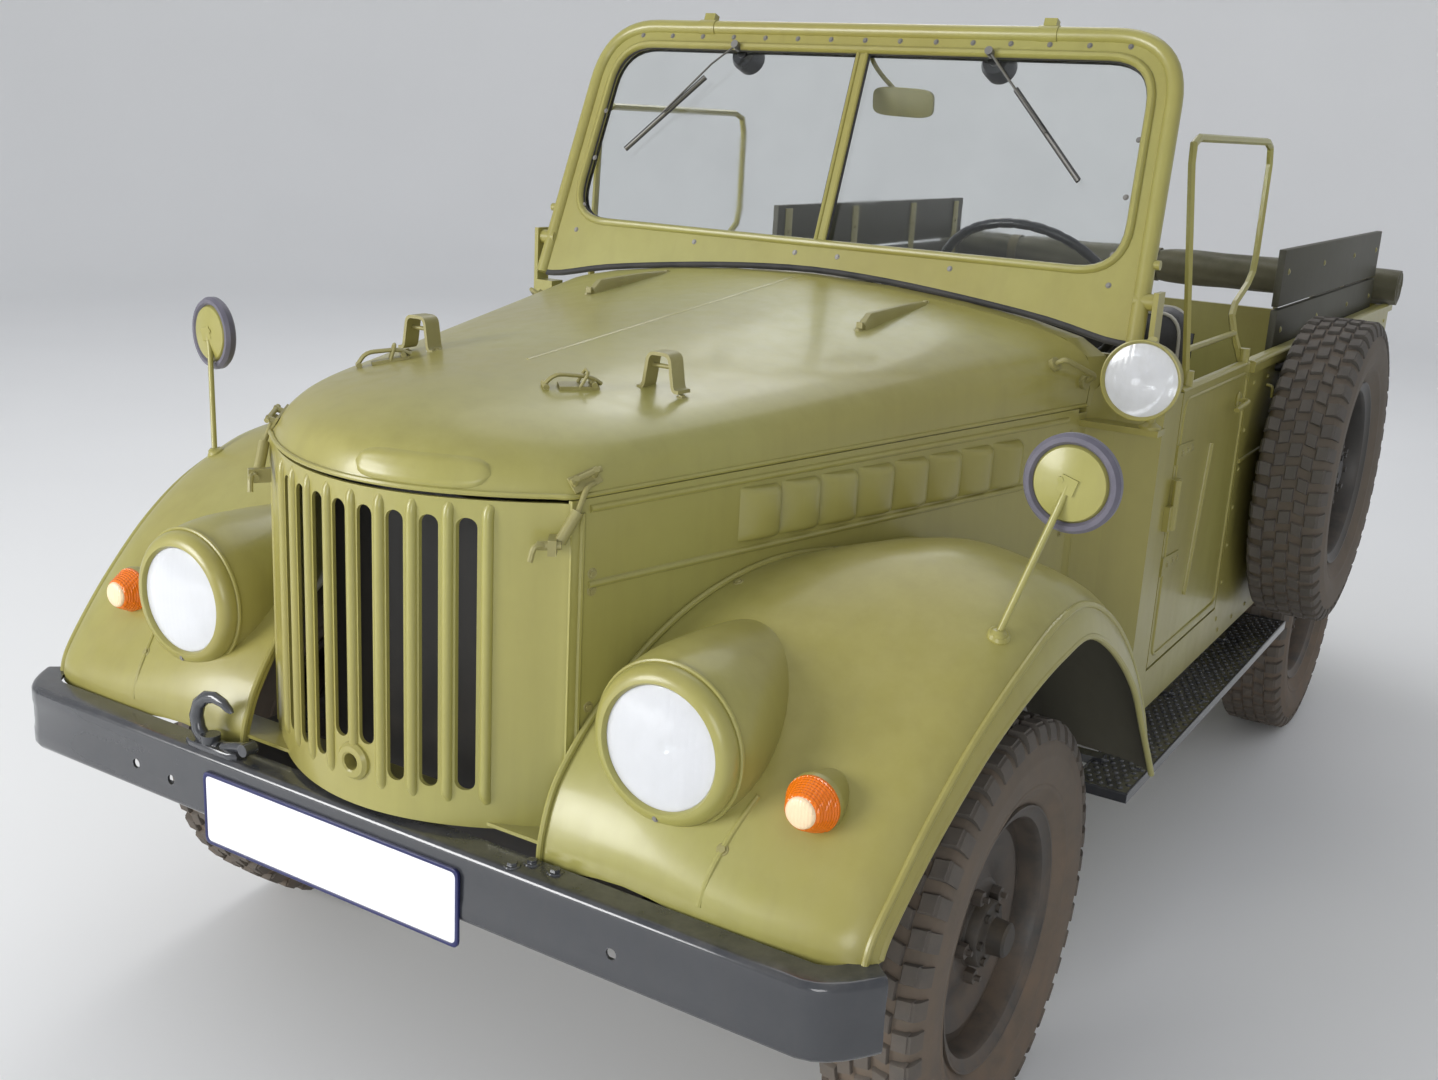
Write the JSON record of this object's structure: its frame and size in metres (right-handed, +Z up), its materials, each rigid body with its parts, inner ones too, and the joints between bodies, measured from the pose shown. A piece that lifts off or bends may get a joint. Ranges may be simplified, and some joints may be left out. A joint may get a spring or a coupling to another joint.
{
  "type": "open field car",
  "caption": "Open two-door four-wheel-drive field car with folding windscreen, canvas-top body, slatted grille, side spare wheel, benches and drop tailgate.",
  "frame": {"origin": "centre of the ground patch under the car, midway between its front and rear ends", "axes": "+X to the car's left, +Y to the rear, +Z up; the car faces -Y"},
  "size_m": [1.8821, 3.85, 1.8403],
  "materials": {
    "olive_paint": "satin yellowish olive paint",
    "black_paint": "satin black paint",
    "chassis": "matt black chassis paint",
    "cast_engine": "grey painted casting",
    "metal": "dull steel",
    "rim": "dusty dark grey paint",
    "tyre": "dusty black rubber",
    "plate": "blank white plate",
    "lens": "clear fluted lens",
    "amber": "amber lens",
    "glass": "clear flat glass",
    "leather": "black leatherette with a light edge",
    "canvas": "dark rolled canvas",
    "board": "dark olive boards"
  },
  "bodies": {
    "body": {"bench_left": "board", "bench_right": "board", "body_side_left": "olive_paint", "body_side_right": "olive_paint", "canvas_roll": "canvas", "cowl": "olive_paint", "dashboard": "olive_paint", "engine_block": "cast_engine", "exhaust": "metal", "floor_pan": "olive_paint", "front_axle": "chassis", "front_bumper": "black_paint", "front_fender_left": "olive_paint", "front_fender_right": "olive_paint", "grille_shell": "olive_paint", "headlamp_left": "lens", "headlamp_right": "lens", "hood_side_left": "olive_paint", "hood_side_right": "olive_paint", "ladder_frame": "chassis", "mirror_left": "olive_paint", "mirror_right": "olive_paint", "number_plate": "plate", "radiator": "metal", "rear_axle": "chassis", "rim_spare": "rim", "running_board_left": "black_paint", "running_board_right": "black_paint", "search_lamp": "olive_paint", "seat_left": "leather", "seat_right": "leather", "transmission": "chassis", "turn_lamp_left": "amber", "turn_lamp_right": "amber", "tyre_spare": "tyre"},
    "door_left": {"door_left": "olive_paint"},
    "knuckle_left": {"knuckle_left": "chassis"},
    "wheel_front_left": {"tyre_front_left": "tyre", "rim_front_left": "rim"},
    "wheel_rear_left": {"tyre_rear_left": "tyre", "rim_rear_left": "rim"},
    "door_right": {"door_right": "olive_paint"},
    "knuckle_right": {"knuckle_right": "chassis"},
    "wheel_front_right": {"tyre_front_right": "tyre", "rim_front_right": "rim"},
    "wheel_rear_right": {"tyre_rear_right": "tyre", "rim_rear_right": "rim"},
    "hood": {"hood": "olive_paint"},
    "windscreen": {"windscreen_frame": "olive_paint", "windscreen_glass": "glass"},
    "tailgate": {"tailgate": "olive_paint"},
    "tie_rod": {"tie_rod": "chassis"},
    "steering_wheel": {"steering_wheel": "black_paint"}
  },
  "joints": [
    {"name": "steering_turn", "type": "hinge", "parent": "body", "child": "steering_wheel", "pos_m": [0.345, -0.275, 1.285], "axis": [0, 0.788, 0.6157], "range_deg": [-540, 540]},
    {"name": "left_knuckle_turn", "type": "hinge", "parent": "body", "child": "knuckle_left", "pos_m": [0.585, -1.265, 0.36684], "axis": [0, 0, 1], "range_deg": [-28.5, 28.5]},
    {"name": "right_knuckle_turn", "type": "hinge", "parent": "body", "child": "knuckle_right", "pos_m": [-0.585, -1.265, 0.36684], "axis": [0, 0, 1], "range_deg": [-28.5, 28.5]},
    {"name": "tie_rod_shift", "type": "slide", "parent": "body", "child": "tie_rod", "axis": [-1, 0, 0], "range_m": [-0.0765, 0.0765]},
    {"name": "front_left_wheel_spin", "type": "hinge", "parent": "knuckle_left", "child": "wheel_front_left", "pos_m": [0.72, -1.265, 0.36684], "axis": [1, 0, 0], "continuous": true},
    {"name": "rear_left_wheel_spin", "type": "hinge", "parent": "body", "child": "wheel_rear_left", "pos_m": [0.72, 1.035, 0.36684], "axis": [1, 0, 0], "continuous": true},
    {"name": "front_right_wheel_spin", "type": "hinge", "parent": "knuckle_right", "child": "wheel_front_right", "pos_m": [-0.72, -1.265, 0.36684], "axis": [1, 0, 0], "continuous": true},
    {"name": "rear_right_wheel_spin", "type": "hinge", "parent": "body", "child": "wheel_rear_right", "pos_m": [-0.72, 1.035, 0.36684], "axis": [1, 0, 0], "continuous": true},
    {"name": "hood_lift", "type": "hinge", "parent": "body", "child": "hood", "pos_m": [0, -0.662, 1.326], "axis": [-1, 0, 0], "range_deg": [0, 60]},
    {"name": "windscreen_fold", "type": "hinge", "parent": "body", "child": "windscreen", "pos_m": [0, -0.604, 1.335], "axis": [-1, 0, 0], "range_deg": [-109, 0]},
    {"name": "left_door_swing", "type": "hinge", "parent": "body", "child": "door_left", "pos_m": [0.756, -0.45, 0.586], "axis": [0, 0, -1], "range_deg": [0, 65]},
    {"name": "right_door_swing", "type": "hinge", "parent": "body", "child": "door_right", "pos_m": [-0.756, -0.45, 0.586], "axis": [0, 0, 1], "range_deg": [0, 65]},
    {"name": "tailgate_drop", "type": "hinge", "parent": "body", "child": "tailgate", "pos_m": [0, 1.893, 0.6104], "axis": [-1, 0, 0], "range_deg": [0, 90]}
  ],
  "couplings": [
    {"joint": "left_knuckle_turn", "follows": "steering_turn", "ratio": 0.05185},
    {"joint": "right_knuckle_turn", "follows": "steering_turn", "ratio": 0.05185},
    {"joint": "tie_rod_shift", "follows": "steering_turn", "m_per_rad": 0.00797}
  ]
}
